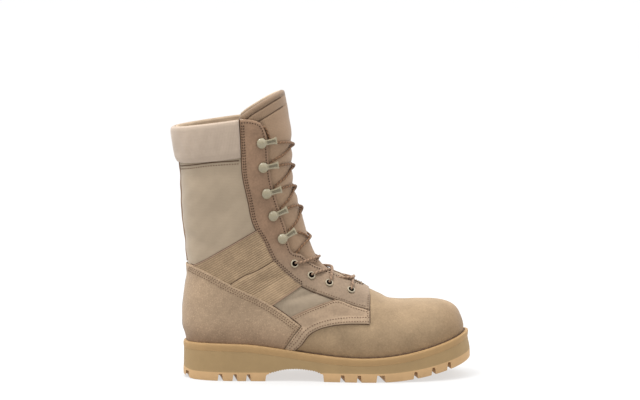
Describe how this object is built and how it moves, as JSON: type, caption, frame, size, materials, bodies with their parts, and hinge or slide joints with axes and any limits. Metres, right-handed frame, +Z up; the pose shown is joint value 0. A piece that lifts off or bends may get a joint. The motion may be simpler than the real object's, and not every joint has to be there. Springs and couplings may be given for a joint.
{
  "type": "military boot",
  "caption": "Tall laced military boot for the right foot: hollow upper with padded cuff and tongue, eyelets and speed hooks, on a lugged rubber sole.",
  "frame": {"origin": "on the floor under the middle of the boot's box", "axes": "+X towards the toe, +Y towards the medial side, +Z up"},
  "size_m": [0.3172, 0.1072, 0.3043],
  "materials": {
    "suede": "tan suede with a short nap",
    "nubuck": "smooth tan nubuck",
    "nylon": "woven nylon, matt",
    "padded_nylon": "padded woven nylon, matt",
    "lining": "matt",
    "rubber": "matt moulded rubber",
    "welt_rubber": "matt moulded rubber",
    "painted_metal": "semi-matt paint",
    "lace_cord": "braided cord"
  },
  "bodies": {
    "root": {"outsole": "rubber", "midsole": "welt_rubber", "insole": "lining", "upper": "suede", "tongue": "padded_nylon", "heel_counter": "suede", "collar_cuff": "nylon", "lace": "lace_cord", "eyestay_lateral": "nubuck", "eyestay_medial": "nubuck", "quarter_strap_lateral": "nubuck", "quarter_strap_medial": "nubuck", "eyelet_lateral_1": "painted_metal", "eyelet_lateral_2": "painted_metal", "eyelet_lateral_3": "painted_metal", "eyelet_lateral_4": "painted_metal", "eyelet_medial_1": "painted_metal", "eyelet_medial_2": "painted_metal", "eyelet_medial_3": "painted_metal", "eyelet_medial_4": "painted_metal", "hook_lateral_1": "painted_metal", "hook_lateral_2": "painted_metal", "hook_lateral_3": "painted_metal", "hook_lateral_4": "painted_metal", "hook_lateral_5": "painted_metal", "hook_medial_1": "painted_metal", "hook_medial_2": "painted_metal", "hook_medial_3": "painted_metal", "hook_medial_4": "painted_metal", "hook_medial_5": "painted_metal"}
  },
  "joints": []
}
